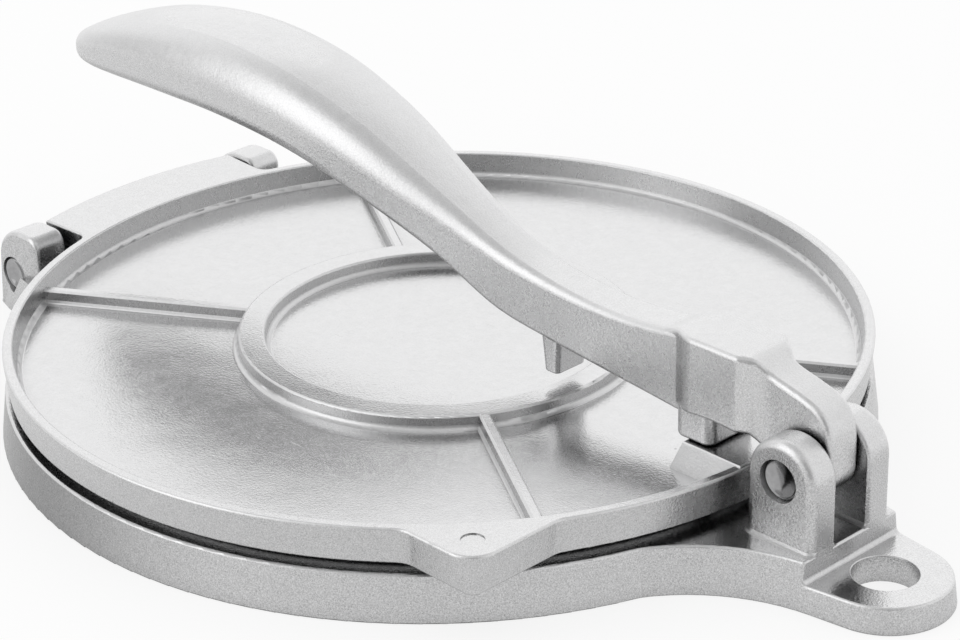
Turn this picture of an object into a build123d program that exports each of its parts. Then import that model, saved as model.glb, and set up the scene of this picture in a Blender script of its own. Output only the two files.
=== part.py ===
"""Tortilla press, cast aluminium, for tortillas up to eight inches.

Three castings and two steel pins.  Origin: the middle of the disc, on the table.
X runs from the plate's hinge (-X) to the lever's pivot and the hanging lug (+X), Z is up.
All sizes are millimetres.
"""
from build123d import *
from math import asin, atan2, cos, hypot, pi, radians, sin, sqrt, tan
import os

# ---------------------------------------------------------------- the disc
PRESS_R = 100.0          # radius over the upper plate's rim, and over the base's top edge
BASE_H = 11.0            # table to the base's top edge
BASE_DRAFT = 7.5         # outward lean of the base's wall, degrees
BASE_WALL = 3.4          # wall of the base's skirt
DECK = 4.0               # thickness of the base's deck
FOOT_R = 0.4             # rounding of the base's lower edge
TOP_R = 0.6              # rounding of its top edges
FACE_INSET = 5.0         # pressing faces stop so far inside the disc's edge
FACE_RISE = 1.0          # pressing face above the base's top edge
FACE_LEAN = 0.3          # draft of both pressing faces' edges
CORE_LEAN = 0.5          # draft of the hollow underside
HUB_R = 13.0             # boss in the middle of the underside, it reaches the table
HUB_LEAN = 0.6           # its draft
STIFF_W = 3.0            # stiffening ribs under the deck
STIFF_LIFT = 1.5         # their clearance above the table
STIFF_RING_R = 52.0      # ring that joins them
STIFF_N = 8

# ---------------------------------------------------------------- the upper plate
SHUT = 0.12              # left between the two pressing faces when shut
EDGE_GAP = 2.0           # base's top edge to the plate's lower edge
WALL_H = 8.5             # plate's wall, lower edge to rim
WALL_LEAN = 0.9          # plate's wall, how far it leans out on its way up
PLATE_T = 3.6            # floor of the upper plate
PLATE_EDGE_R = 0.5       # rounding of its lower edge
RIM_W = 2.45             # rim, on top
RIM_LEAN = 0.85          # draft of the rim's inner side
RIM_EDGE_R = 0.6         # rounding of the rim's outer edge
RIM_INNER_R = 0.4        # and of its inner edge
FLOOR_R = 1.3            # rounding where the floor meets the rim and the ring
RING_RO = 46.4           # inner ring, outside, on top
RING_RI = 40.3           # inner ring, inside, on top
RING_H = 3.35            # ring above the floor
RING_LEAN = 0.35         # draft of the ring's sides
RING_EDGE_R = 0.6
RIB_W = 2.6              # ribs, on top
RIB_H = 3.15             # ribs above the floor
RIB_ANGLE = 31.4         # from the X axis
RIB_HALF = [(RIB_W / 2 - 0.5, RIB_H), (RIB_W / 2, RIB_H - 0.45), (RIB_W / 2 + 0.15, 0.8),
            (RIB_W / 2 + 0.45, 0.25), (RIB_W / 2 + 1.1, -0.4)]   # half section: sideways, above the floor
TAB_OUT = 14.4           # lift tab: its square corner beyond the disc
TAB_ANGLE = 40.5         # the corner's direction from the X axis
TAB_TIP_R = 7.0          # rounding of the corner, on top
TAB_HEEL_R = 1.6         # and at the plate's lower edge
TAB_BLEND_R = 5.0
MARK_R = 2.55            # round mark cast into the tab
MARK_DEPTH = 0.25
PAD_RISE = 0.4           # press pad above the rim
PAD_W = 16.4             # press pad, across its top
PAD_LEAN = 2.1           # its draft
PAD_LEN = 17.1           # from its inner top edge to the rim's outside
PAD_EDGE_R = 0.35

# ---------------------------------------------------------------- the hinge
HINGE_OUT = 11.6         # pin's axis beyond the disc
HINGE_Z = 9.7            # pin's axis above the table
HINGE_PIN_R = 4.5
KNUCKLE_R = 6.3          # barrel of the plate round the pin
KNUCKLE_W = 59.8
FLANGE_W = 57.6          # flange of the plate, on top, beside the disc
FLANGE_FLARE = 0.8       # it is so much wider on each side at its outer edge
FLANGE_OUT = 14.5        # its crest beyond the disc
FLANGE_BOW = 4.0         # its outer edge bows by so much
FLANGE_BLEND_R = 3.0
HINGE_EAR_T = 9.1        # hinge ears of the base
HINGE_EAR_GAP = 0.5      # beside the knuckle
HINGE_EAR_R = 8.8        # their outer shoulder
HINGE_EAR_IN = 2.8       # its centre, inwards from the pin's axis
HINGE_EAR_L = 7.3        # shoulder's centre to the inner side
HINGE_EAR_CORNER_R = 3.4
HINGE_EAR_TOP = 21.6     # their height above the table
HINGE_EAR_EDGE_R = 1.2
HINGE_EAR_SPLAY = 1.0    # they are so much longer at the table
TIE_RUN = 4.0            # block that ties the ear to the disc: its corner, inwards from the ear's end
TIE_OUT = 1.2            # that corner stands so far outside the ear
TIE_SPREAD = 6.0         # and the block so far where it meets the disc
TIE_DRAFT = 1.2          # its sides lean in by so much on their way up
TIE_DROP = 0.8           # its top below the base's top edge
WEB_DROP = 2.5           # web over the barrel: its top below the plate's rim
WEB_IN = 4.0             # its inner side beyond the disc
WEB_INSET = 0.7          # it stays so far inside the flange and the barrel's ends

# ---------------------------------------------------------------- tongue, lug and pivot ears
LUG_OUT = 31.2           # hanging hole's axis beyond the disc
LUG_R = 14.1             # lug's radius on its top face
LUG_H = 6.1              # lug's thickness
HOLE_R = 7.0
SWEEP_R = 42.4           # hollow sides of the tongue
SWEEP_OUT = 29.9         # their centre beyond the disc
SWEEP_START = 201.0      # direction in which they leave the disc, degrees
TONGUE_LEAN = 9.0        # the straight sides' angle, degrees
TONGUE_DECK = 5.5        # thickness of the tongue's deck
STEP_WALL = 3.0          # wall under the step
PIVOT_OUT = 12.7         # lever's pin beyond the disc
PIVOT_RISE = 14.3        # lever's pin above the base's top edge
PIVOT_PIN_R = 4.75
EYE_W = 9.2              # lever's eye
EYE_GAP = 0.53           # between the eye and each pivot ear
EAR_T = 7.6              # pivot ears
EAR_L = 17.9             # their length along X
EAR_OFF = 0.45           # their middle is so far beyond the pin
EAR_EDGE_R = 2.0
EAR_FOOT_R = 0.8
EAR_ROOT = 3.0           # they reach so far into the tongue
STEP_FOOT_R = 1.1        # at the foot of the step down to the lug
HOLE_EDGE_R = 0.3

# ---------------------------------------------------------------- the lever
NOSE_R = 6.8             # lever's end round the pin
LEVER_REACH = 240.3      # pin to the grip's tip
ROOT_OUT = 37.7          # pin to the root of the arm
ROOT_LAP = 1.5           # arm and root overlap by so much
ROOT_UNDER = 3.0         # root's underside above the pin
UNDER_OUT = 14.4         # pin to where the underside turns down to the nose
FOOT_OUT = 33.3          # pin to the foot's far face
FOOT_L = 10.3
FOOT_W = 14.8
FOOT_CORNER_R = 2.4
FOOT_EDGE_R = 1.2
FOOT_GAP = 0.12          # left between the foot and the press pad when shut
BLOCK_W = 16.0           # square root of the lever
BLOCK_TOP = 20.9         # its top above the pin
CREST_OUT = 17.0         # pin to where the top starts to fall towards the nose
CREST = [(-10.7, 18.4), (-5.1, 16.6), (0.4, 15.1), (3.8, 13.4), (6.0, 10.2), (6.8, 6.0)]  # from the pin
FLARE_OUT = 34.9         # pin to where the arm starts to flare into the block
BLOCK_OUT = 30.0         # pin to where the block has its full width
BLOCK_NEAR = 15.9        # pin to the block's near corner
NECK_OUT = 11.2          # pin to where the neck has come down to the eye's width
FLARE_R = 3.5            # bends of the plan at these four places
BLOCK_OUT_R = 6.0
BLOCK_NEAR_R = 1.5
NECK_R = 6.0
LEVER_EDGE_R = 1.2       # rounding of the block's, neck's and eye's edges
ARM_W = 10.8             # arm beside the root
POST_OUT = 72.3          # pin to the middle of the second post
POST_L = 5.8
POST_W = 10.0
POST_RISE = 0.1          # second post's end above the foot's
POST_LEAN = 0.8          # its draft
POST_CORNER_R = 1.3
POST_EDGE_R = 0.5

# Guide curves of the arm and the grip: share of the way from the root to the tip, then the size.
PLAN = [(0, 5.4), (0.10, 5.3), (0.20, 5.85), (0.30, 7.7), (0.42, 11.9), (0.56, 15.1), (0.68, 16.0),
        (0.80, 15.4), (0.90, 12.9), (0.97, 9.6), (1, 8.2)]                     # half-width
TOP = [(0, 19.3), (0.07, 17.9), (0.16, 18.8), (0.25, 22.9), (0.35, 31.8), (0.45, 41.2), (0.56, 48.2),
       (0.67, 50.9), (0.77, 49.9), (0.87, 45.8), (0.95, 40.0), (1, 36.2)]      # crest above the pin
UNDER = [(0, 1.5), (0.10, 3.4), (0.19, 5.6), (0.26, 8.9), (0.33, 16.2), (0.42, 23.7), (0.54, 30.4),
         (0.66, 32.8), (0.80, 32.5), (0.92, 31.0), (1, 30.4)]                  # underside above the pin
SHOULDER = [(0, 1.5), (0.14, 1.8), (0.28, 3.4), (0.42, 6.6), (0.60, 9.0), (0.76, 9.0), (0.90, 6.4), (1, 3.0)]
LOWER_EDGE = [(0, 1.2), (0.20, 1.3), (0.40, 2.4), (0.64, 4.6), (0.80, 4.6), (0.92, 3.2), (1, 1.9)]
TIP_LEN = 13.0           # the guides close in over this length to round the tip
TIP_Z = 32.2             # tip above the pin
CROWN_R = 42.0           # crown across the top of the arm and the grip

# ---------------------------------------------------------------- fits
PIN_FIT = 0.04           # radial, pins in their bores
HINGE_PIN_SINK = 0.35    # hinge pin's ends below the ears' faces
PIVOT_PIN_SINK = 1.0     # lever pin's ends below theirs
PIN_EDGE = 0.6           # chamfer on the pin ends
LAP = 0.4                # added shapes reach so far into the one they join

# ---------------------------------------------------------------- worked out from the above
FACE_R = PRESS_R - FACE_INSET
LEAN = tan(radians(BASE_DRAFT))
EDGE_Z = BASE_H + EDGE_GAP               # plate's lower edge
RIM_Z = EDGE_Z + WALL_H                  # plate's rim
FACE_Z = BASE_H + FACE_RISE + SHUT       # plate's pressing face
FLOOR_Z = FACE_Z + PLATE_T
PAD_Z = RIM_Z + PAD_RISE
HINGE_X = -(PRESS_R + HINGE_OUT)
PIVOT_X = PRESS_R + PIVOT_OUT
PIVOT_Z = BASE_H + PIVOT_RISE
LUG_X = PRESS_R + LUG_OUT
TAB_X = (PRESS_R + TAB_OUT) * cos(radians(TAB_ANGLE))
TAB_Y = (PRESS_R + TAB_OUT) * sin(radians(TAB_ANGLE))
EAR_X = PIVOT_X + EAR_OFF
EAR_Y = EYE_W / 2 + EYE_GAP
STEP_X = EAR_X + EAR_L / 2               # the ears end flush with the step
KNUCKLE_Y = KNUCKLE_W / 2
HINGE_EAR_Y = KNUCKLE_Y + HINGE_EAR_GAP


def face(*edges):
    return Face(Wire(edges))


def both(shape):
    return [shape, shape.mirror(Plane.XZ)]


def arc_about(cx, cy, r, a0, a1):
    """Arc about a centre, from angle a0 to a1 (degrees)."""
    pts = [(cx + r * cos(radians(a)), cy + r * sin(radians(a))) for a in (a0, (a0 + a1) / 2, a1)]
    return ThreePointArc(*pts)


def angle(x, y):
    return atan2(y, x) * 180 / pi


def bore(x, z, r, half):
    return Pos(x, 0, z) * Rot(90, 0, 0) * Cylinder(r, 2 * half)


def across(profile, y0, y1):
    """A profile drawn in XZ, made solid from y0 to y1."""
    return Pos(0, y1, 0) * extrude(Plane.XZ * profile, amount=y1 - y0)


def near(shape, value, axis, tol=0.01):
    """Edges that lie in the plane where the axis has this value."""
    return [e for e in shape.edges()
            if abs(getattr(e.bounding_box().min, axis) - value) < tol
            and abs(getattr(e.bounding_box().max, axis) - value) < tol]


# ================================================================ base
def tongue_outline(grow):
    """Plan of the tongue and its lug, every side moved out by grow."""
    r_lug = LUG_R - (BASE_H - LUG_H) * LEAN + grow
    r_side = SWEEP_R - grow
    reach = (r_lug + r_side) / cos(radians(TONGUE_LEAN))
    dx = SWEEP_OUT - LUG_OUT
    cx, cy = PRESS_R + SWEEP_OUT, sqrt(reach ** 2 - dx ** 2)
    a = angle(dx, cy) - TONGUE_LEAN
    ux, uy = cos(radians(a)), sin(radians(a))
    p_side = (cx - r_side * ux, cy - r_side * uy)
    p_lug = (LUG_X + r_lug * ux, r_lug * uy)
    a0 = SWEEP_START
    start = (cx + r_side * cos(radians(a0)), cy + r_side * sin(radians(a0)))
    inner = (PRESS_R * 0.7, start[1])
    low = [(x, -y) for x, y in (p_lug, p_side, start, inner)]
    return face(
        Line(inner, start),
        arc_about(cx, cy, r_side, a0, 180 + a),
        Line(p_side, p_lug),
        ThreePointArc(p_lug, (LUG_X + r_lug, 0), low[0]),
        Line(low[0], low[1]),
        arc_about(cx, -cy, r_side, 180 - a, 360 - a0),
        Line(low[2], low[3]),
        Line(low[3], inner),
    )


def base_disc():
    foot_r = PRESS_R + BASE_H * LEAN
    top = BASE_H + FACE_RISE
    face_r = FACE_R - FACE_LEAN
    profile = Polyline((0, 0), (foot_r, 0), (PRESS_R, BASE_H), (FACE_R, BASE_H),
                       (face_r, top), (0, top), close=True)
    section = make_face(profile)
    corners = section.vertices().sort_by(Axis.X)
    section = fillet(corners[-1], FOOT_R)
    corners = [v for v in section.vertices()
               if abs(v.X - PRESS_R) < 0.01 or abs(v.X - face_r) < 0.01]
    section = fillet(corners, TOP_R)
    return revolve(Plane.XZ * section, Axis.Z)


def base_hollow():
    """Everything that is open from below: disc, tongue, and the ribs that stay."""
    roof = BASE_H - DECK
    r0 = PRESS_R + BASE_H * LEAN - BASE_WALL
    disc = Pos(0, 0, roof / 2) * Cone(r0, r0 - CORE_LEAN, roof)
    tongue = extrude(tongue_outline(-BASE_WALL), amount=BASE_H - TONGUE_DECK)
    tongue &= Pos(STEP_X - STEP_WALL - PRESS_R / 2, 0, roof / 2) * Box(PRESS_R, 4 * LUG_R, 2 * roof)
    hollow = disc + tongue
    ribs = Pos(0, 0, roof / 2) * Cone(HUB_R, HUB_R - HUB_LEAN, roof)
    ring = Cylinder(STIFF_RING_R + STIFF_W / 2, roof) - Cylinder(STIFF_RING_R - STIFF_W / 2, roof)
    ribs += Pos(0, 0, roof / 2 + STIFF_LIFT) * ring
    for i in range(STIFF_N):
        bar = Pos(PRESS_R / 2, 0, roof / 2 + STIFF_LIFT) * Box(PRESS_R + 2 * BASE_WALL, STIFF_W, roof)
        ribs += Rot(0, 0, 360 / STIFF_N * (i + 0.5)) * bar
    return hollow - ribs


def ear_plan(grow, z):
    """Plan of a pivot ear at its foot, every side moved out by grow."""
    plan = Pos(EAR_X, EAR_Y + EAR_T / 2, z) * Rectangle(EAR_L + 2 * grow, EAR_T + 2 * grow)
    plan = fillet(plan.vertices().sort_by(Axis.Y)[-2:], EAR_EDGE_R + grow)
    return fillet([v for v in plan.vertices() if v.Y < EAR_Y - grow + 0.01], EAR_EDGE_R / 2 + grow)


def pivot_ear():
    r = EAR_L / 2
    z0 = BASE_H - EAR_ROOT
    x0, x1 = EAR_X - r, EAR_X + r
    profile = face(
        Line((x1, z0), (x1, PIVOT_Z)),
        ThreePointArc((x1, PIVOT_Z), (EAR_X, PIVOT_Z + r), (x0, PIVOT_Z)),
        Line((x0, PIVOT_Z), (x0, z0)),
        Line((x0, z0), (x1, z0)),
    )
    ear = across(profile, EAR_Y, EAR_Y + EAR_T)
    ear = fillet(near(ear, EAR_Y + EAR_T, "Y"), EAR_EDGE_R)
    ear = fillet(near(ear, EAR_Y, "Y"), EAR_EDGE_R / 2)
    skirt = [ear_plan(EAR_FOOT_R, BASE_H), ear_plan(EAR_FOOT_R * 0.3, BASE_H + EAR_FOOT_R * 0.3),
             ear_plan(0, BASE_H + EAR_FOOT_R)]
    for low, high in zip(skirt, skirt[1:]):
        ear += loft([low, high], ruled=True)
    return ear - Pos(STEP_X + EAR_L / 2, 0, PIVOT_Z) * Box(EAR_L, 4 * EAR_T + 2 * EYE_W, 2 * PIVOT_Z)


def tie_plan(end, ear_end, lean, z):
    """Plan of the block that ties a hinge ear to the disc, its outer sides moved in by lean."""
    y0, y1 = HINGE_EAR_Y, HINGE_EAR_Y + HINGE_EAR_T - lean
    inside = -PRESS_R * 0.9
    corners = Polyline((end, y0), (end, y1 - LAP), (ear_end + TIE_RUN + lean, y1 + TIE_OUT),
                       (inside, y1 + TIE_SPREAD), (inside, y0), close=True)
    return Pos(0, 0, z) * make_face(corners)


def hinge_ear():
    """One ear of the base with the block that ties it to the wall."""
    y0, y1 = HINGE_EAR_Y, HINGE_EAR_Y + HINGE_EAR_T
    zc = HINGE_EAR_TOP - HINGE_EAR_R
    xc = HINGE_X + HINGE_EAR_IN
    xa, xb = xc - HINGE_EAR_R, xc + HINGE_EAR_L
    foot = xa - HINGE_EAR_SPLAY
    rc = HINGE_EAR_CORNER_R
    profile = face(
        Line((xb, 0), (xb, HINGE_EAR_TOP - rc)),
        arc_about(xb - rc, HINGE_EAR_TOP - rc, rc, 0, 90),
        Line((xb - rc, HINGE_EAR_TOP), (xc, HINGE_EAR_TOP)),
        arc_about(xc, zc, HINGE_EAR_R, 90, 180),
        Line((xa, zc), (foot, 0)),
        Line((foot, 0), (xb, 0)),
    )
    ear = across(profile, y0, y1)
    keep = [e for e in near(ear, y1, "Y") + near(ear, y0, "Y") if e.center().Z > 1]
    ear = fillet(keep, HINGE_EAR_EDGE_R)
    return ear + loft([tie_plan(foot, xa, 0, 0), tie_plan(xa + 1, xa, TIE_DRAFT, BASE_H - TIE_DROP)],
                      ruled=True)


def tongue():
    """Tongue with the step down to the hanging lug."""
    body = loft([tongue_outline(BASE_H * LEAN), Pos(0, 0, BASE_H) * tongue_outline(0)], ruled=True)
    size = 4 * LUG_R
    body -= Pos(STEP_X + size / 2, 0, LUG_H + size / 2) * Box(size, size, size)
    foot = [e for e in near(body, STEP_X, "X") if abs(e.center().Z - LUG_H) < 0.01]
    body = fillet(foot, STEP_FOOT_R)
    outside = PRESS_R * 0.75
    body = fillet([e for e in near(body, BASE_H, "Z") if e.center().X > outside], TOP_R)
    body = fillet([e for e in near(body, LUG_H, "Z") if e.bounding_box().max.X > LUG_X], TOP_R)
    return fillet([e for e in near(body, 0, "Z") if e.center().X > outside], FOOT_R)


def hanging_hole():
    """What the hole takes away, with its rounded upper edge."""
    r, wide = HOLE_R, HOLE_R + HOLE_EDGE_R
    low, high = LUG_H - HOLE_EDGE_R, LUG_H + 1
    section = face(
        Line((0, -1), (r, -1)), Line((r, -1), (r, low)), arc_about(wide, low, HOLE_EDGE_R, 180, 90),
        Line((wide, LUG_H), (wide, high)), Line((wide, high), (0, high)), Line((0, high), (0, -1)),
    )
    return Pos(LUG_X, 0, 0) * revolve(Plane.XZ * section, Axis.Z)


def make_base():
    body = base_disc() + tongue()
    for ear in both(hinge_ear()):
        body += ear
    body -= base_hollow()
    for ear in both(pivot_ear()):
        body += ear
    body -= bore(PIVOT_X, PIVOT_Z, PIVOT_PIN_R + PIN_FIT, EAR_Y + EAR_T + 1)
    body -= bore(HINGE_X, HINGE_Z, HINGE_PIN_R + PIN_FIT, HINGE_EAR_Y + HINGE_EAR_T + 1)
    return body - hanging_hole()


# ================================================================ upper plate
def plate_outline(grow, tip_r):
    """Plan of the upper plate with its lift tab and its hinge flange, every side moved out by grow."""
    r = PRESS_R + grow
    rho = TAB_BLEND_R - grow
    both_r = PRESS_R + TAB_BLEND_R
    cx = sqrt(both_r ** 2 - (TAB_Y + TAB_BLEND_R) ** 2)
    cy = sqrt(both_r ** 2 - (TAB_X + TAB_BLEND_R) ** 2)
    a = angle(cx, -(TAB_Y + TAB_BLEND_R))
    b = angle(TAB_X + TAB_BLEND_R, -cy)
    tx, ty = TAB_X + grow, TAB_Y + grow
    kx, ky = tx - tip_r, ty - tip_r
    half = FLANGE_W / 2 + grow
    wide = half + FLANGE_FLARE
    fr = FLANGE_BLEND_R - grow
    reach = PRESS_R + FLANGE_BLEND_R
    hy = FLANGE_W / 2 + FLANGE_BLEND_R
    hx = -sqrt(reach ** 2 - hy ** 2)
    c = angle(hx, hy)
    edge = PRESS_R + FLANGE_OUT - FLANGE_BOW + grow
    crest = PRESS_R + FLANGE_OUT + grow
    return face(
        arc_about(cx, -(TAB_Y + TAB_BLEND_R), rho, 180 + a, 90),
        Line((cx, -ty), (kx, -ty)),
        arc_about(kx, -ky, tip_r, -90, 0),
        Line((tx, -ky), (tx, -cy)),
        arc_about(TAB_X + TAB_BLEND_R, -cy, rho, 180, 180 + b),
        arc_about(0, 0, r, b, c),
        arc_about(hx, hy, fr, c - 180, -90),
        Line((hx, half), (-edge, wide)),
        ThreePointArc((-edge, wide), (-crest, 0), (-edge, -wide)),
        Line((-edge, -wide), (hx, -half)),
        arc_about(hx, -hy, fr, 90, 180 - c),
        arc_about(0, 0, r, 360 - c, 360 + a),
    )


def plate_cavity():
    """What is open above the floor; the ring is left standing."""
    high = RIM_Z + WALL_H
    wall = PRESS_R - RIM_W
    lean = RING_LEAN
    pts = [(0, high), (0, FLOOR_Z), (RING_RI - lean, FLOOR_Z), (RING_RI, FLOOR_Z + RING_H),
           (RING_RO, FLOOR_Z + RING_H), (RING_RO + lean, FLOOR_Z), (wall - RIM_LEAN, FLOOR_Z),
           (wall, RIM_Z), (wall, high)]
    section = make_face(Polyline(*pts, close=True))
    floor = [v for v in section.vertices() if abs(v.Y - FLOOR_Z) < 0.01 and v.X > 1]
    section = fillet(floor, FLOOR_R)
    tops = [v for v in section.vertices() if abs(v.Y - FLOOR_Z - RING_H) < 0.01]
    section = fillet(tops, RING_EDGE_R)
    return revolve(Plane.XZ * section, Axis.Z)


def plate_rib():
    """One rib from the ring to the rim, lying along X."""
    pts = [(y, z + FLOOR_Z) for y, z in RIB_HALF]
    pts += [(-y, z) for y, z in reversed(pts)]
    section = Plane.YZ * make_face(Polyline(*pts, close=True))
    x0 = RING_RO - RIB_W / 2
    return Pos(x0, 0, 0) * extrude(section, amount=PRESS_R - RIM_W / 2 - x0)


def press_pad():
    x1 = PRESS_R + 1
    x0 = PRESS_R - PAD_LEN
    w = PAD_W / 2
    low = Rectangle(x1 - x0 + PAD_LEAN, 2 * (w + PAD_LEAN))
    high = Rectangle(x1 - x0, 2 * w)
    pad = loft([Pos((x0 - PAD_LEAN + x1) / 2, 0, FLOOR_Z - LAP) * low,
                Pos((x0 + x1) / 2, 0, PAD_Z) * high], ruled=True)
    pad &= Cylinder(PRESS_R - WALL_LEAN + LAP / 2, 4 * PAD_Z)
    return fillet(near(pad, PAD_Z, "Z"), PAD_EDGE_R)


def knuckle():
    """Barrel round the hinge pin and the web that carries it."""
    barrel = bore(HINGE_X, HINGE_Z, KNUCKLE_R, KNUCKLE_Y)
    y0, y1 = KNUCKLE_Y - WEB_INSET, FLANGE_W / 2 - WEB_INSET
    wide = 2 * KNUCKLE_R - LAP / 2
    out, inner = PRESS_R + FLANGE_OUT - FLANGE_BOW - WEB_INSET, PRESS_R + WEB_IN
    low = Pos(HINGE_X, 0, HINGE_Z) * Rectangle(wide, 2 * y0)
    high = Pos(-(out + inner) / 2, 0, RIM_Z - WEB_DROP) * Rectangle(out - inner, 2 * y1)
    return barrel + loft([low, high], ruled=True)


def make_upper_plate():
    low = Pos(0, 0, EDGE_Z) * plate_outline(-WALL_LEAN, TAB_HEEL_R)
    body = loft([low, Pos(0, 0, RIM_Z) * plate_outline(0, TAB_TIP_R)], ruled=True)
    body = fillet(near(body, EDGE_Z, "Z"), PLATE_EDGE_R)
    body = fillet(near(body, RIM_Z, "Z"), RIM_EDGE_R)
    body -= plate_cavity()
    body = fillet([e for e in near(body, RIM_Z, "Z")
                   if e.geom_type == GeomType.CIRCLE and abs(e.radius - PRESS_R + RIM_W) < 0.02],
                  RIM_INNER_R)
    drop = EDGE_Z - FACE_Z
    body += Pos(0, 0, EDGE_Z - drop / 2 + LAP / 2) * Cone(FACE_R - FACE_LEAN, FACE_R, drop + LAP)
    for a in (RIB_ANGLE, -RIB_ANGLE, 180 + RIB_ANGLE, 180 - RIB_ANGLE):
        body += Rot(0, 0, a) * plate_rib()
    body += press_pad()
    body += knuckle()
    mark_at = (TAB_X - TAB_TIP_R, TAB_TIP_R - TAB_Y, RIM_Z)
    body -= Pos(*mark_at) * Cylinder(MARK_R, 2 * MARK_DEPTH)
    return body - bore(HINGE_X, HINGE_Z, HINGE_PIN_R + PIN_FIT, KNUCKLE_Y + 1)


# ================================================================ lever
def along(guide, t):
    """Smooth curve through a guide's points."""
    n = len(guide) - 1
    i = max(k for k in range(n) if k == 0 or guide[k][0] <= t)
    slope = []
    for k in (i, i + 1):
        a, b = guide[max(k - 1, 0)], guide[min(k + 1, n)]
        slope.append((b[1] - a[1]) / (b[0] - a[0]))
    (t0, v0), (t1, v1) = guide[i], guide[i + 1]
    h = t1 - t0
    u = (t - t0) / h
    return (v0 * (1 + 2 * u) * (1 - u) ** 2 + v1 * (3 - 2 * u) * u ** 2
            + h * u * (1 - u) * (slope[0] * (1 - u) - slope[1] * u))


def arm_section(share):
    """Rounded section across the arm, with a crowned top."""
    length = LEVER_REACH - ROOT_OUT
    x = PIVOT_X - ROOT_OUT - share * length
    t = min(max(share, 0), 1)
    left = (1 - share) * length / TIP_LEN
    close = sqrt(1 - (1 - left) ** 2) if left < 1 else 1.0
    w = along(PLAN, t) * close
    zb = PIVOT_Z + TIP_Z + (along(UNDER, t) - TIP_Z) * close
    zt = PIVOT_Z + TIP_Z + (along(TOP, t) - TIP_Z) * close
    rs = along(SHOULDER, t) * close
    rb = along(LOWER_EDGE, t) * close
    zc = zt - CROWN_R
    cy = w - rs
    cz = zc + sqrt((CROWN_R - rs) ** 2 - cy ** 2)
    k = CROWN_R / (CROWN_R - rs)
    cr = (k * cy, zc + k * (cz - zc))
    m = rs / hypot(w - cy + cr[0] - cy, cr[1] - cz)
    mid = (cy + (w + cr[0] - 2 * cy) * m, cz + (cr[1] - cz) * m)
    q = rb * (1 - sqrt(0.5))
    right = [(w - rb, zb), (w - q, zb + q), (w, zb + rb), (w, cz), mid, cr]
    p = [Vector(x, y, z) for y, z in right]
    n = [Vector(x, -y, z) for y, z in right]
    edges = [
        Line(n[0], p[0]), ThreePointArc(p[0], p[1], p[2]), Line(p[2], p[3]),
        ThreePointArc(p[3], p[4], p[5]), ThreePointArc(p[5], Vector(x, 0, zt), n[5]),
        ThreePointArc(n[5], n[4], n[3]), Line(n[3], n[2]), ThreePointArc(n[2], n[1], n[0]),
    ]
    return Face(Wire(edges))


def lever_arm():
    shares = [-0.05] + [i / 16 for i in range(15)]
    tip = TIP_LEN / (LEVER_REACH - ROOT_OUT)
    shares += [(1 + shares[-1] - tip) / 2, 1 - tip]
    shares += [1 - tip * left for left in (0.72, 0.46, 0.26, 0.12, 0.04, 0.008)]
    return loft([arm_section(s) for s in shares])


def lever_root():
    """Square root, neck and eye: a side profile within a plan."""
    px, pz = PIVOT_X, PIVOT_Z
    bw, ew, aw = BLOCK_W / 2, EYE_W / 2, ARM_W / 2
    x0 = px - ROOT_OUT - ROOT_LAP
    bends = {px - FLARE_OUT: FLARE_R, px - BLOCK_OUT: BLOCK_OUT_R,
             px - BLOCK_NEAR: BLOCK_NEAR_R, px - NECK_OUT: NECK_R}
    half = [(x0, aw - LAP), (px - FLARE_OUT, aw - LAP / 2), (px - BLOCK_OUT, bw), (px - BLOCK_NEAR, bw),
            (px - NECK_OUT, ew), (px + 2 * NOSE_R, ew)]
    pts = half + [(x, -y) for x, y in reversed(half)]
    plan = make_face(Polyline(*pts, close=True))
    for x, r in bends.items():
        plan = fillet([v for v in plan.vertices() if abs(v.X - x) < 0.01], r)
    top = pz + BLOCK_TOP
    under = pz + ROOT_UNDER
    xu, xt = px - UNDER_OUT, px - CREST_OUT
    a = atan2(under - pz, px - xu) + asin(NOSE_R / hypot(px - xu, under - pz))
    tang = (px - NOSE_R * sin(a), pz - NOSE_R * cos(a))
    crest = [(px + x, pz + z) for x, z in CREST]
    side = face(
        Line((x0, under - 1), (px - BLOCK_OUT, under)),
        ThreePointArc((px - BLOCK_OUT, under), ((px - BLOCK_OUT + xu) / 2, under + 0.6), (xu, under)),
        Line((xu, under), tang),
        arc_about(px, pz, NOSE_R, -90 - a * 180 / pi, 0),
        Spline((px + NOSE_R, pz), *reversed(crest), (xt, top), tangents=((0, 1), (-1, 0))),
        Line((xt, top), (px - BLOCK_OUT, top)),
        ThreePointArc((px - BLOCK_OUT, top), ((px - BLOCK_OUT + x0) / 2, top - 0.6), (x0, top - 2)),
        Line((x0, top - 2), (x0, under - 1)),
    )
    body = across(side, -BLOCK_W, BLOCK_W) & extrude(plan, amount=2 * top)
    rims = [e for e in body.edges() if abs(e.center().Y) > min(ew, aw - LAP) - 0.01
            and e.bounding_box().size.X > 0.3 and e.bounding_box().min.X > x0 + 1]
    return fillet(rims, LEVER_EDGE_R)


def lever_foot():
    z0 = PAD_Z + FOOT_GAP
    z1 = PIVOT_Z + 4.5
    x = PIVOT_X - FOOT_OUT + FOOT_L / 2
    foot = extrude(Pos(x, 0, z0) * RectangleRounded(FOOT_L, FOOT_W, FOOT_CORNER_R), amount=z1 - z0)
    return fillet(near(foot, z0, "Z"), FOOT_EDGE_R)


def second_post():
    z0 = PAD_Z + FOOT_GAP + POST_RISE
    z1 = PIVOT_Z + 6.5
    x = PIVOT_X - POST_OUT
    low = Pos(x, 0, z0) * RectangleRounded(POST_L - 2 * POST_LEAN, POST_W - POST_LEAN, POST_CORNER_R)
    high = Pos(x, 0, z1) * RectangleRounded(POST_L, POST_W, POST_CORNER_R)
    post = loft([low, high], ruled=True)
    return fillet(near(post, z0, "Z"), POST_EDGE_R)


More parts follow.
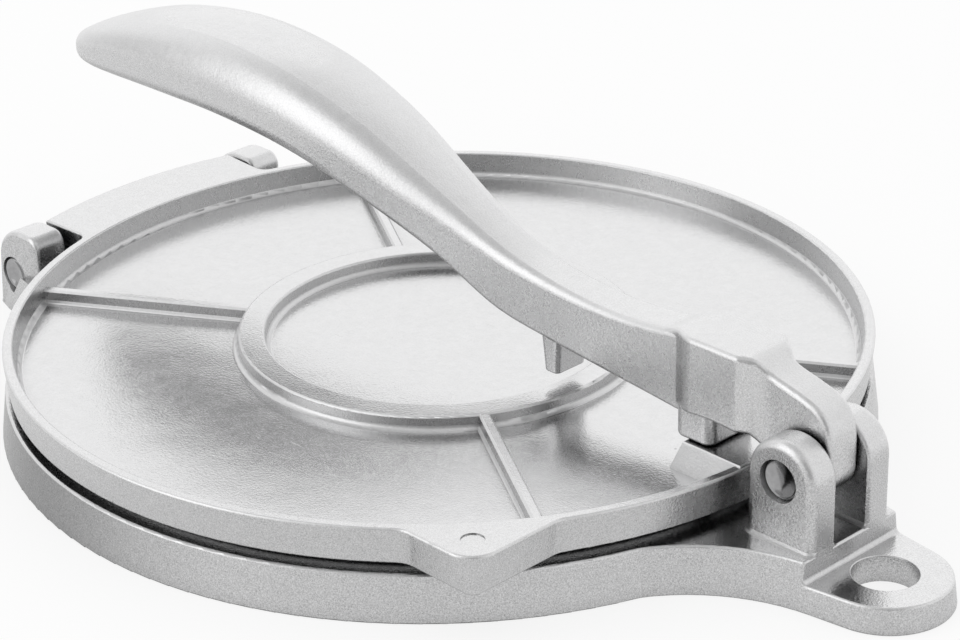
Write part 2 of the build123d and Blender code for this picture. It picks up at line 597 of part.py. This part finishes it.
def make_handle():
    body = lever_arm() + lever_root()
    body += lever_foot()
    body += second_post()
    return body - bore(PIVOT_X, PIVOT_Z, PIVOT_PIN_R + PIN_FIT, EYE_W)


# ================================================================ pins
def make_pin(x, z, r, half):
    pin = bore(x, z, r, half)
    return chamfer(pin.edges().filter_by(GeomType.CIRCLE), PIN_EDGE)


os.makedirs("parts", exist_ok=True)
PARTS = {
    "base": make_base(),
    "upper_plate": make_upper_plate(),
    "handle": make_handle(),
    "hinge_pin": make_pin(HINGE_X, HINGE_Z, HINGE_PIN_R, HINGE_EAR_Y + HINGE_EAR_T - HINGE_PIN_SINK),
    "handle_pin": make_pin(PIVOT_X, PIVOT_Z, PIVOT_PIN_R, EAR_Y + EAR_T - PIVOT_PIN_SINK),
}
for name, shape in PARTS.items():
    print(f"{name:12s} solids {len(shape.solids())}  volume {shape.volume / 1000:8.2f} cm3  "
          f"{shape.bounding_box().size}")
    export_step(shape, f"parts/{name}.step")
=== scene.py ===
# %% [markdown]
# # A cast-aluminium tortilla press
#
# The press is two round castings joined by a hinge, a lever that pushes the upper one down, and two
# steel pins. Their exact shapes come from a measured model, so this lesson is about what the
# measured model can't hold: how the metal looks, how it is lit, and where the camera stands.
#
# A length is in metres unless its name says otherwise, and every piece is already where it belongs.

# %% The measured model
import math

import bpy
import numpy as np
from mathutils import Matrix, Vector


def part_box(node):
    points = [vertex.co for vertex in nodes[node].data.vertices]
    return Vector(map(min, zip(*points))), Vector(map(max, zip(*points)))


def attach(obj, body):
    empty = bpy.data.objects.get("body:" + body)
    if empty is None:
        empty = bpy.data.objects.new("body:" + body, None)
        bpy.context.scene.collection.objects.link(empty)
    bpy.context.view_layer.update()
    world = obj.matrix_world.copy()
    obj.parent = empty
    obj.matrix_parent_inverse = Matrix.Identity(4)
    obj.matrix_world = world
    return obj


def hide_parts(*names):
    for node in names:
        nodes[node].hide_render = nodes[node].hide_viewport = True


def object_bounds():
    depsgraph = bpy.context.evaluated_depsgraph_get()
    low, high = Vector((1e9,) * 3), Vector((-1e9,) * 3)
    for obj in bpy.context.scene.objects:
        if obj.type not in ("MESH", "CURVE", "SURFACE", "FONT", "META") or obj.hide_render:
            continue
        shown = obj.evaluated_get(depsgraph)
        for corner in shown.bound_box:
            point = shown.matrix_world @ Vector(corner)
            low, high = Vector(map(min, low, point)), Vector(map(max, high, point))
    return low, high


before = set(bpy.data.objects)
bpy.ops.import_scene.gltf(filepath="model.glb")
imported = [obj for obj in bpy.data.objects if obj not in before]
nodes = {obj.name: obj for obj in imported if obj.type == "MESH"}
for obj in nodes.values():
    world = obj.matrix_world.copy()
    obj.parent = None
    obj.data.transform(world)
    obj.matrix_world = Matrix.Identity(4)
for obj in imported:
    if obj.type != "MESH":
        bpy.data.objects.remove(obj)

cad_box = [list(corner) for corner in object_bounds()]
print("pieces:", sorted(nodes))
print("box in mm:", [[round(c * 1000, 1) for c in corner] for corner in cad_box])

# %% [markdown]
# ## The camera
#
# A product photograph is usually taken with a long lens, from some way off, so that circles stay
# nearly true ellipses. A camera has seven numbers: where it looks from (two angles and a distance),
# how much it is rolled, how long its lens is, and where the object sits in the frame. They could be
# found by eye, but a few points of the press that can be seen clearly, such as the pin ends and the
# rims of the round plates, settle all seven, and the values below come from such a fit.

# %% Place the camera
IMAGE_WIDTH_PX = 960
FOCAL_PX = 2954.43                    # the lens's length, measured in the image's pixels
SENSOR_MM = 36.0
AZIMUTH = math.radians(45.992)        # turned from the front towards the lever's pivot
ELEVATION = math.radians(25.552)
ROLL = math.radians(-1.08)
DISTANCE = 0.690593
SLIDE_RIGHT, SLIDE_UP = 0.009111, 0.018122     # moves the camera without turning it


def add_object(name, data):
    """Puts a camera, a mesh or a lamp into the scene as an object."""
    made = bpy.data.objects.new(name, data)
    bpy.context.scene.collection.objects.link(made)
    return made


backward = Vector((math.sin(AZIMUTH) * math.cos(ELEVATION), -math.cos(AZIMUTH) * math.cos(ELEVATION),
                   math.sin(ELEVATION)))
level_right = Vector((math.cos(AZIMUTH), math.sin(AZIMUTH), 0))
level_up = backward.cross(level_right)
right = level_right * math.cos(ROLL) + level_up * math.sin(ROLL)
up = level_up * math.cos(ROLL) - level_right * math.sin(ROLL)

camera = add_object("camera", bpy.data.cameras.new("camera"))
camera.data.sensor_width = SENSOR_MM
camera.data.lens = FOCAL_PX * SENSOR_MM / IMAGE_WIDTH_PX
camera.matrix_world = Matrix((right, up, backward)).transposed().to_4x4()
camera.location = backward * DISTANCE + right * SLIDE_RIGHT + up * SLIDE_UP
bpy.context.scene.camera = camera
print("lens %.1f mm, camera at %s" % (camera.data.lens, [round(c, 3) for c in camera.location]))

# %% [markdown]
# ## Writing materials as sums
#
# A procedural material is a small calculation that is done again at each point of a surface. Blender
# draws it as boxes joined by wires, which is easy to look at and slow to write. A class that wraps a
# wire and knows what plus, minus and times mean lets the same calculation be written as a formula:
# `1 - mask` adds the Math node that works it out. Every other kind of node comes from one method.

# %% A wire that can be added and multiplied
class Wire:
    """The value that leaves one socket. An operator on it adds the Math node that works it out."""

    def __init__(self, recipe, socket):
        self.recipe = recipe
        self.socket = socket

    def math(self, operation, first, second):
        return self.recipe.node("ShaderNodeMath", {"operation": operation}, {0: first, 1: second})

    def __add__(self, other):
        return self.math("ADD", self, other)

    def __radd__(self, other):
        return self.math("ADD", other, self)

    def __sub__(self, other):
        return self.math("SUBTRACT", self, other)

    def __rsub__(self, other):
        return self.math("SUBTRACT", other, self)

    def __mul__(self, other):
        return self.math("MULTIPLY", self, other)

    def __rmul__(self, other):
        return self.math("MULTIPLY", other, self)

    def __pow__(self, other):
        return self.math("POWER", self, other)

# %% A node tree that is written from top to bottom
class Recipe:
    """The node tree of one material or of the world."""

    def __init__(self, owner):
        owner.use_nodes = True
        self.nodes = owner.node_tree.nodes
        self.links = owner.node_tree.links
        self.nodes.clear()

    def node(self, kind, settings=None, sockets=None, output=0):
        """Adds a node, sets it up, and fills its sockets with numbers, colours or wires."""
        made = self.nodes.new(kind)
        for name, value in (settings or {}).items():
            setattr(made, name, value)
        for name, value in (sockets or {}).items():
            if isinstance(value, Wire):
                self.links.new(value.socket, made.inputs[name])
            else:
                made.inputs[name].default_value = value
        return Wire(self, made.outputs[output]) if made.outputs else None

# %% [markdown]
# ## Patterns of cast metal
#
# The skin of a casting is not one pattern but several, each with its own size. The mould's sand
# leaves bumps of about half a millimetre, and the stones that a casting is tumbled with rub their
# tops bright, which speckles it. Slow cooling leaves soft waves about a centimetre long, which show
# only in what the metal reflects, and here and there a gas bubble leaves a pit. A photograph of metal
# wrapped round the piece could hold all this, but it would stretch over the lever's bends. Noises
# that fill space don't, so a few of different sizes are worked out once and then used in the colour,
# the roughness and the relief. Sizes are given as lengths on the object, because a noise that is
# scaled by eye is never the right size twice.

# %% Values over a surface
def object_place(recipe):
    """Where a point is on the piece, in metres."""
    return recipe.node("ShaderNodeTexCoord", output="Object")


def component(recipe, vector, axis):
    """The X, Y or Z of a vector."""
    return recipe.node("ShaderNodeSeparateXYZ", sockets={"Vector": vector}, output=axis)


def spread(recipe, value, low, high, to_low=0.0, to_high=1.0, soft=False):
    """Stretches the part of a value from low to high over to_low to to_high, and cuts off the rest."""
    kind = "SMOOTHSTEP" if soft else "LINEAR"
    return recipe.node("ShaderNodeMapRange", {"interpolation_type": kind}, {
        "Value": value, "From Min": low, "From Max": high, "To Min": to_low, "To Max": to_high})


def grey(recipe, value, blue):
    """A grey as light as the value, whose blue is the given number of times as strong."""
    return recipe.node("ShaderNodeCombineColor", sockets={
        "Red": value, "Green": value, "Blue": value * blue})

# %% Noises by their size on the object
MIDDLE = 0.5              # what a noise swings around


def noise(recipe, place, size, detail=2.0, roughness=0.5):
    """A cloudy value around MIDDLE whose blobs are about `size` metres across."""
    return recipe.node("ShaderNodeTexNoise", sockets={
        "Vector": place, "Scale": 1 / size, "Detail": detail, "Roughness": roughness})

# %% Pits
PIT_SPACING = 0.019
PIT_SHARE = 0.25          # the share of places that have a pit
PIT_RADIUS = 0.00045
PIT_FLOOR = 0.4 * PIT_RADIUS     # the radius of its flat bottom


def pits(recipe, place):
    """1 in small round pits, 0 elsewhere. Each cell of a Voronoi pattern has a pit in its middle, or
    none: its own random colour decides."""
    cells = {"Vector": place, "Scale": 1 / PIT_SPACING}
    away = recipe.node("ShaderNodeTexVoronoi", sockets=cells, output="Distance")
    lot = recipe.node("ShaderNodeTexVoronoi", sockets=cells, output="Color")
    drawn = recipe.node("ShaderNodeSeparateColor", sockets={"Color": lot}, output="Red")
    chosen = recipe.node("ShaderNodeMath", {"operation": "LESS_THAN"}, {0: drawn, 1: PIT_SHARE})
    return spread(recipe, away, PIT_RADIUS / PIT_SPACING, PIT_FLOOR / PIT_SPACING) * chosen


print("pits %.1f mm wide, %.0f mm apart" % (2000 * PIT_RADIUS, 1000 * PIT_SPACING))

# %% Scratches
SCRATCH_LENGTH = 0.009
SCRATCH_WIDTH = 0.00022
SCRATCH_TURN = (0.1, 0.2, math.radians(35))
SCRATCHED = (0.85, 0.93)  # only the noise's few highest blobs are scratches


def scratches(recipe, place):
    """Thin broken lines along one direction: a noise that is stretched until its blobs are lines."""
    turned_place = recipe.node("ShaderNodeMapping", sockets={
        "Vector": place, "Rotation": SCRATCH_TURN,
        "Scale": (1 / SCRATCH_LENGTH, 1 / SCRATCH_WIDTH, 1 / SCRATCH_WIDTH)})
    lines = recipe.node("ShaderNodeTexNoise", sockets={
        "Vector": turned_place, "Scale": 1.0, "Detail": 0.0})
    return spread(recipe, lines, *SCRATCHED)


print("scratches %.0f mm long, %.2f mm wide" % (1000 * SCRATCH_LENGTH, 1000 * SCRATCH_WIDTH))

# %% [markdown]
# ## Cast aluminium
#
# All three castings are the same bare metal, tumbled and left unpainted. The stones reach what faces
# up and out, so that is smoothest, and walls kept more of their grain. Walls and undersides are darker
# than tops, partly from their rougher finish and partly as painted shade, and corners are darker still
# as painted shade. Three materials could be tuned one by one, but a single recipe can make all of it
# when it asks three things about a point: which way the surface faces, how shut in it is, and where on
# the piece it lies. The first comes from the surface's own normal, as the piece sees it, so that it
# stays put when the piece swings open. The second is what the Ambient Occlusion node measures, and it
# sets the painted shade in corners. The third matters in two places: the upper plate is smoother
# inside its rim, and the base's walls get painted shade towards the hinge.

# %% Which way the surface faces
# Each pair is where a mask begins and where it is full, as the Z of the normal, which is 1 on a level
# top, 0 on a wall and -1 on a level underside.
UPWARD = (0.05, 0.50)
DOWNWARD = (-0.10, -0.65)
LEVEL = (0.96, 0.998)


def facing(recipe):
    """Three masks: what faces up, what faces down, and what is level and faces up."""
    normal = recipe.node("ShaderNodeTexCoord", output="Normal")
    height = component(recipe, normal, "Z")
    return [spread(recipe, height, *edges, soft=True) for edges in (UPWARD, DOWNWARD, LEVEL)]

# %% Where a casting is sandy
TUMBLED = 0.7             # the share of the grain that tumbling took off what faces up
SMOOTH_SHARE = 0.25       # the share of it that smooth walls keep
SMOOTH_FADE = 0.001


def sandy_part(recipe, place, upward, smooth_within):
    """How much of its grain a point kept: all on a wall, less on what faces up, and less again nearer
    to the Z axis than `smooth_within`. That distance is the length of the point's X and Y."""
    flat_place = recipe.node("ShaderNodeVectorMath", {"operation": "MULTIPLY"}, {
        0: place, 1: (1, 1, 0)})
    radius = recipe.node("ShaderNodeVectorMath", {"operation": "LENGTH"}, {
        0: flat_place}, output="Value")
    outside = spread(recipe, radius, smooth_within - SMOOTH_FADE, smooth_within, SMOOTH_SHARE, 1.0)
    return outside * (1 - upward * TUMBLED)

# %% Where walls get painted shade towards the hinge
HINGE_SHADE_GROWS = (0.04, -0.03)       # along X, which points from the hinge to the lever's pivot
HINGE_SHADE_ENDS = (-0.105, -0.085)     # it stops at the hinge ears, which stay light


def hinge_shade_part(recipe, place, upward):
    """Where walls get painted shade: from the middle of the piece to its hinge ears."""
    along = component(recipe, place, "X")
    near_hinge = spread(recipe, along, *HINGE_SHADE_GROWS, soft=True) * spread(recipe, along, *HINGE_SHADE_ENDS)
    return near_hinge * (1 - upward)

# %% How large the patterns are and how much they do
GRAIN = 0.00030           # the speckle of the colour
SAND = 0.00050            # the bumps that the mould's sand left
MOTTLE = 0.0024           # faint clouds in the grey and in the gloss
WAVES = 0.012             # what makes mirror images waver
SHADE_REACH = 0.004            # how far from a wall the painted corner shade reaches
SHADE_SAMPLES = 3

# How light the metal is, and how rough. Walls and undersides are darker than tops, partly from their
# rougher finish and partly as painted shade. What slopes upwards was scuffed the most.
TOP_GREY, UNDER_SHADED_GREY = 0.80, 0.34
LEVEL_ROUGH, WALL_ROUGH, SLOPE_ROUGHER = 0.14, 0.27, 0.11
ALUMINIUM_BLUE = 1.005

# How much of the colour each pattern takes, and how much roughness it adds.
SPECKLE_EVERYWHERE = 0.10
# The corners' share is painted shade where the surface is shut in.
MOTTLE_GREYER, CORNER_SHADE, PIT_GREYER = 0.12, 0.62, 0.45
MOTTLE_ROUGHER, PIT_ROUGHER = 0.14, 0.2

# How high the bumps stand and how deep the marks lie, as shares of the fine relief.
SAND_HEIGHT, MORE_ON_WALLS = 1.3, 1.6
PIT_DEPTH, SCRATCH_DEPTH = 1.5, 0.4
FINE_RELIEF, BROAD_RELIEF = 0.000032, 0.0002
BROAD_STRENGTH = 0.5
print("grain %.2f mm, sand %.2f mm, mottle %.1f mm, waves %.0f mm" % tuple(
    1000 * size for size in (GRAIN, SAND, MOTTLE, WAVES)))

# %% The casting's recipe
def cast_aluminium(name, wall_grain, wall_shaded_grey=0.52, smooth_within=0.0, hinge_shade_strength=0.0):
    """Bare tumbled aluminium: light and smooth on top, grainy on its walls, with painted shade that
    darkens walls, undersides and corners.

    `wall_grain` is how strongly its walls are speckled, and `hinge_shade_strength` how much darker
    painted shade makes them towards the hinge."""
    material = bpy.data.materials.new(name)
    recipe = Recipe(material)
    place = object_place(recipe)
    upward, downward, level = facing(recipe)
    open_air = recipe.node("ShaderNodeAmbientOcclusion", {"samples": SHADE_SAMPLES}, {
        "Distance": SHADE_REACH}, output="AO")

    grain = noise(recipe, place, GRAIN, roughness=0.6) - MIDDLE
    sand = noise(recipe, place, SAND, roughness=0.6) - MIDDLE
    mottle = noise(recipe, place, MOTTLE, detail=3.0, roughness=0.55) - MIDDLE
    waves = noise(recipe, place, WAVES, detail=1.0)
    pit = pits(recipe, place)
    scratch = scratches(recipe, place)
    sandy = sandy_part(recipe, place, upward, smooth_within)
    # Painted shade on the walls towards the hinge.
    hinge_shade = hinge_shade_part(recipe, place, upward) * hinge_shade_strength

    # Walls and undersides are painted darker than tops: partly their rougher finish, partly painted
    # shade.
    grey_with_facing_shade = wall_shaded_grey + upward * (TOP_GREY - wall_shaded_grey) + downward * (UNDER_SHADED_GREY - wall_shaded_grey)
    speckle = grain * (SPECKLE_EVERYWHERE + sandy * wall_grain) + mottle * MOTTLE_GREYER
    # Painted shade in corners, where the occlusion node finds the surface shut in; pits are darker in
    # their own colour.
    corner_shade_and_pits = (1 - open_air) ** 2.0 * CORNER_SHADE + pit * PIT_GREYER
    lightness = grey_with_facing_shade * (1 + speckle) * (1 - corner_shade_and_pits) * (1 - hinge_shade)

    slope = upward * (1 - level)
    even_rough = WALL_ROUGH + level * (LEVEL_ROUGH - WALL_ROUGH) + slope * SLOPE_ROUGHER
    rough = even_rough + mottle * MOTTLE_ROUGHER + pit * PIT_ROUGHER

    bumps = sand * (SAND_HEIGHT + sandy * MORE_ON_WALLS) - pit * PIT_DEPTH - scratch * SCRATCH_DEPTH
    fine = recipe.node("ShaderNodeBump", sockets={
        "Strength": 1.0, "Distance": FINE_RELIEF, "Height": bumps})
    relief = recipe.node("ShaderNodeBump", sockets={
        "Strength": BROAD_STRENGTH, "Distance": BROAD_RELIEF, "Height": waves, "Normal": fine})

    shader = recipe.node("ShaderNodeBsdfPrincipled", sockets={
        "Base Color": grey(recipe, lightness, ALUMINIUM_BLUE), "Metallic": 1.0, "Roughness": rough,
        "Normal": relief})
    recipe.node("ShaderNodeOutputMaterial", sockets={"Surface": shader})
    return material

# %% [markdown]
# ## The three castings
#
# They are the same metal but don't look quite alike. The base has the strongest speckle and painted
# shade on its walls towards the hinge, the upper plate is smooth inside its rim, and the lever's walls
# are a little lighter. Copies of the recipe could be edited for each, but then every later change
# would have to be made three times. So each casting gets the same recipe with its own few numbers.

# %% Give each casting its metal
def finish_piece(node, material):
    """Puts a material in every slot of a piece."""
    for slot in nodes[node].material_slots:
        slot.material = material


# The base's walls get painted shade towards the hinge.
finish_piece("base", cast_aluminium("cast_base", wall_grain=1.3, hinge_shade_strength=0.58))
finish_piece("upper_plate", cast_aluminium("cast_plate", wall_grain=0.95, smooth_within=0.0975))
finish_piece("handle", cast_aluminium("cast_lever", wall_grain=0.85, wall_shaded_grey=0.59))
print("materials:", sorted(material.name for material in bpy.data.materials))

# %% [markdown]
# ## Pin steel
#
# The pins are cut from bright steel rod. Their ends, which show best, were faced on a lathe: a nearly
# mirror-like dish inside a narrow bevelled ring. Steel is darker than aluminium, and a faint noise in
# its grey, its roughness and its relief is enough to keep the dish from looking like glass.

# %% The pins' recipe
SCUFFS = 0.0012           # faint dull marks
SCUFF_RANGE = (0.3, 0.7)  # from where their noise starts to roughen the steel to where it is done
STEEL_GREY, SCUFF_LIGHTER = 0.26, 0.16
STEEL_BLUE = 1.01
STEEL_ROUGH = (0.07, 0.14)
SCUFF_RELIEF, SCUFF_STRENGTH = 0.00003, 0.3


def pin_steel(name):
    """Bright turned steel."""
    material = bpy.data.materials.new(name)
    recipe = Recipe(material)
    scuffs = noise(recipe, object_place(recipe), SCUFFS, detail=3.0)
    rough = spread(recipe, scuffs, *SCUFF_RANGE, *STEEL_ROUGH)
    relief = recipe.node("ShaderNodeBump", sockets={
        "Strength": SCUFF_STRENGTH, "Distance": SCUFF_RELIEF, "Height": scuffs})
    shader = recipe.node("ShaderNodeBsdfPrincipled", sockets={
        "Base Color": grey(recipe, STEEL_GREY + scuffs * SCUFF_LIGHTER, STEEL_BLUE), "Metallic": 1.0,
        "Roughness": rough, "Normal": relief})
    recipe.node("ShaderNodeOutputMaterial", sockets={"Surface": shader})
    return material

# %% [markdown]
# ## Turned pins
#
# The measured pins are plain rods with a bevelled edge. On the real ones the lathe tool left each end
# a little hollow, and a hollow mirror shows the room upside down, which is why a pin end looks half
# dark and half bright. A bump could fake that, but a lathe is easy to imitate: a half outline, turned
# round an axis. The outline here is a list of radii and of places along the pin, and turning it
# multiplies each radius by the sines and cosines of a full circle.

# %% A surface turned on a lathe
STEPS_ROUND = 96
SHARP_EDGE = math.radians(28)


def turned(name, radii, along, centre):
    """A closed surface turned round an axis that runs along Y through `centre`.

    A point is at (centre x + r cos a, centre y + y, centre z + r sin a), with r and y from the
    outline and a going once round. The outline's two ends lie on the axis, where one point closes
    the surface."""
    angle = np.linspace(0, 2 * np.pi, STEPS_ROUND, endpoint=False)
    r, y = np.asarray(radii)[1:-1, None], np.asarray(along)[1:-1, None]
    rings = np.stack([r * np.cos(angle), y + 0 * angle, r * np.sin(angle)], axis=-1).reshape(-1, 3)
    ends = np.array([(0, along[0], 0), (0, along[-1], 0)])
    points = np.vstack([rings, ends]) + np.asarray(centre)

    ring_count = len(radii) - 2
    this = np.arange(STEPS_ROUND)
    after = np.roll(this, -1)
    row = np.arange(ring_count - 1)[:, None] * STEPS_ROUND
    next_row = row + STEPS_ROUND
    quads = np.stack([row + this, next_row + this, next_row + after, row + after], axis=-1)
    last_row = (ring_count - 1) * STEPS_ROUND
    first_tip = np.full_like(this, ring_count * STEPS_ROUND)
    last_tip = first_tip + 1
    caps = np.vstack([np.stack([after, first_tip, this], axis=-1),
                      np.stack([last_row + this, last_tip, last_row + after], axis=-1)])

    mesh = bpy.data.meshes.new(name)
    mesh.from_pydata(points.tolist(), [], quads.reshape(-1, 4).tolist() + caps.tolist())
    mesh.shade_smooth()
    mesh.set_sharp_from_angle(angle=SHARP_EDGE)
    return add_object(name, mesh)

# %% The two pins
BEVEL = 0.0006
DISH_STEPS = 9


def turned_pin(node, ring, dish):
    """A pin in the place of a measured one. Each end has a flat ring inside its bevel, and inside that
    a hollow whose depth is dish times (1 - the square of how far out a point is)."""
    low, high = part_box(node)
    centre = (low + high) / 2
    radius, half = (high.x - low.x) / 2, (high.y - low.y) / 2
    hollow = radius - BEVEL - ring
    outward = np.linspace(0, 1, DISH_STEPS)
    radii = np.concatenate([outward * hollow, [radius - BEVEL, radius]])
    along = np.concatenate([half - dish * (1 - outward ** 2), [half, half - BEVEL]])
    pin = turned("turned_" + node, np.concatenate([radii, radii[::-1]]),
                 np.concatenate([along, -along[::-1]]), centre)
    pin.data.materials.append(pin_steel("steel_" + node))
    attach(pin, "base")
    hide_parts(node)
    print(node, "radius %.2f mm, %d faces" % (radius * 1000, len(pin.data.polygons)))


turned_pin("hinge_pin", ring=0.0002, dish=0.0009)
turned_pin("handle_pin", ring=0.0001, dish=0.0006)

# %% [markdown]
# ## The floor
#
# A product photographer puts the press on a sweep of white paper. Real white paper under even light
# comes out a little grey, and more light would make it white but wash out the metal. So what the
# camera and the metal see of the paper is mostly a plain white glow, while the light on its way to
# the press finds ordinary paper. Enough of the paper is left in the mix to keep the press's shadow.

# %% What is seen, and what only lights
def larger(recipe, first, second):
    """The larger of two values."""
    return recipe.node("ShaderNodeMath", {"operation": "MAXIMUM"}, {0: first, 1: second})


def light_path(recipe, kind):
    """1 for rays of one kind, 0 for the others."""
    return recipe.node("ShaderNodeLightPath", output=kind)


def seen_rays(recipe):
    """1 for what the camera sees, itself or in metal or through glass, and 0 for light on its way."""
    glossy, through = light_path(recipe, "Is Glossy Ray"), light_path(recipe, "Is Transmission Ray")
    return larger(recipe, light_path(recipe, "Is Camera Ray"), larger(recipe, glossy, through))

# %% The floor
FLOOR_SIZE = 6.0
PAPER = 0.92
LIFT = 0.8                # the share of white glow in what is seen of it

half = FLOOR_SIZE / 2
lowest = min(corner[2] for corner in cad_box)
floor_mesh = bpy.data.meshes.new("floor")
floor_mesh.from_pydata([(-half, -half, lowest), (half, -half, lowest), (half, half, lowest),
                        (-half, half, lowest)], [], [(0, 1, 2, 3)])
floor = add_object("floor", floor_mesh)

paper = bpy.data.materials.new("white_paper")
recipe = Recipe(paper)
matt = recipe.node("ShaderNodeBsdfDiffuse", sockets={"Color": (PAPER, PAPER, PAPER, 1)})
glow = recipe.node("ShaderNodeEmission", sockets={"Color": (1, 1, 1, 1), "Strength": 1.0})
mix = recipe.node("ShaderNodeMixShader", sockets={"Fac": seen_rays(recipe) * LIFT, 1: matt, 2: glow})
recipe.node("ShaderNodeOutputMaterial", sockets={"Surface": mix})
floor.data.materials.append(paper)
print("floor %.0f m wide, under the lowest point" % FLOOR_SIZE)

# %% [markdown]
# ## The room
#
# Bare metal shows what is around it more than it shows itself, so the room matters as much as the
# metal does. Its level faces mirror a bright backdrop, its other faces plain walls, and nothing hangs
# overhead, so what mirrors the ceiling stays a little darker. The room could be built from boards, but
# then other views would show the boards. A world whose brightness depends on the direction does the
# same for the metal and stays white for the camera. Light on its way to something matt gets one even
# brightness.

# %% The room
AMBIENT = 0.95            # what matt things get
WALLS = 0.84              # the studio's side walls, as the metal sees them
CEILING = 0.56
SHADE_LEFT = 0.25         # the walls are so much darker at the far left
SHADE_FRONT = 0.52        # and behind the photographer

world = bpy.data.worlds.new("studio")
recipe = Recipe(world)
direction = recipe.node("ShaderNodeTexCoord", output="Generated")


def part_of_room(middle, edge, full):
    """1 around a direction and 0 away from it. It fades between two angles, given by their cosines,
    because the dot product of two directions is the cosine of the angle between them."""
    nearness = recipe.node("ShaderNodeVectorMath", {"operation": "DOT_PRODUCT"}, {
        0: direction, 1: tuple(middle)}, output="Value")
    return spread(recipe, nearness, edge, full, soft=True)


backdrop = part_of_room(Vector((-0.64, 0.66, 0.40)).normalized(), edge=0.35, full=0.80)
front = part_of_room(backward, edge=0.80, full=0.95)
overhead = part_of_room((0, 0, 1), edge=0.72, full=0.95)
left = part_of_room((-1, 0, 0), edge=0.45, full=0.90)
sides = WALLS + backdrop * (1 - WALLS) - left * (1 - backdrop) * SHADE_LEFT - front * SHADE_FRONT
room = sides * (1 - overhead) + overhead * CEILING
white_for_camera = larger(recipe, room, light_path(recipe, "Is Camera Ray"))
seen = seen_rays(recipe)
strength = seen * white_for_camera + (1 - seen) * AMBIENT
light = recipe.node("ShaderNodeBackground", sockets={"Color": (1, 1, 1, 1), "Strength": strength})
recipe.node("ShaderNodeOutputWorld", sockets={"Surface": light})
bpy.context.scene.world = world
bpy.context.scene.view_settings.view_transform = "Standard"
print("room: backdrop 1.00, walls %.2f, ceiling %.2f" % (WALLS, CEILING))

# %% [markdown]
# ## The lamp
#
# One soft box stands to the left of the camera. It puts the bright bands on the flanks of the lever
# and draws the soft shadow. A small lamp could give as much light, but it would leave hard spots on
# metal this smooth, so this one is large and weak.

# %% The lamp
def soft_lamp(name, place, width, height, brightness):
    """A soft box that looks at the press. In the metal its light is added to the room's, and at a
    brightness of 1 it adds a quarter of pi of white."""
    lamp = add_object(name, bpy.data.lights.new(name, "AREA"))
    lamp.location = place
    lamp.rotation_euler = (-Vector(place)).to_track_quat("-Z", "Y").to_euler()
    lamp.data.shape = "RECTANGLE"
    lamp.data.size, lamp.data.size_y = width, height
    lamp.data.energy = brightness * math.pi * width * height
    print(name, "lamp: %.2f W over %.1f x %.2f m" % (lamp.data.energy, width, height))


soft_lamp("key", place=(-0.42, -0.98, 0.60), width=0.8, height=1.35, brightness=0.65)
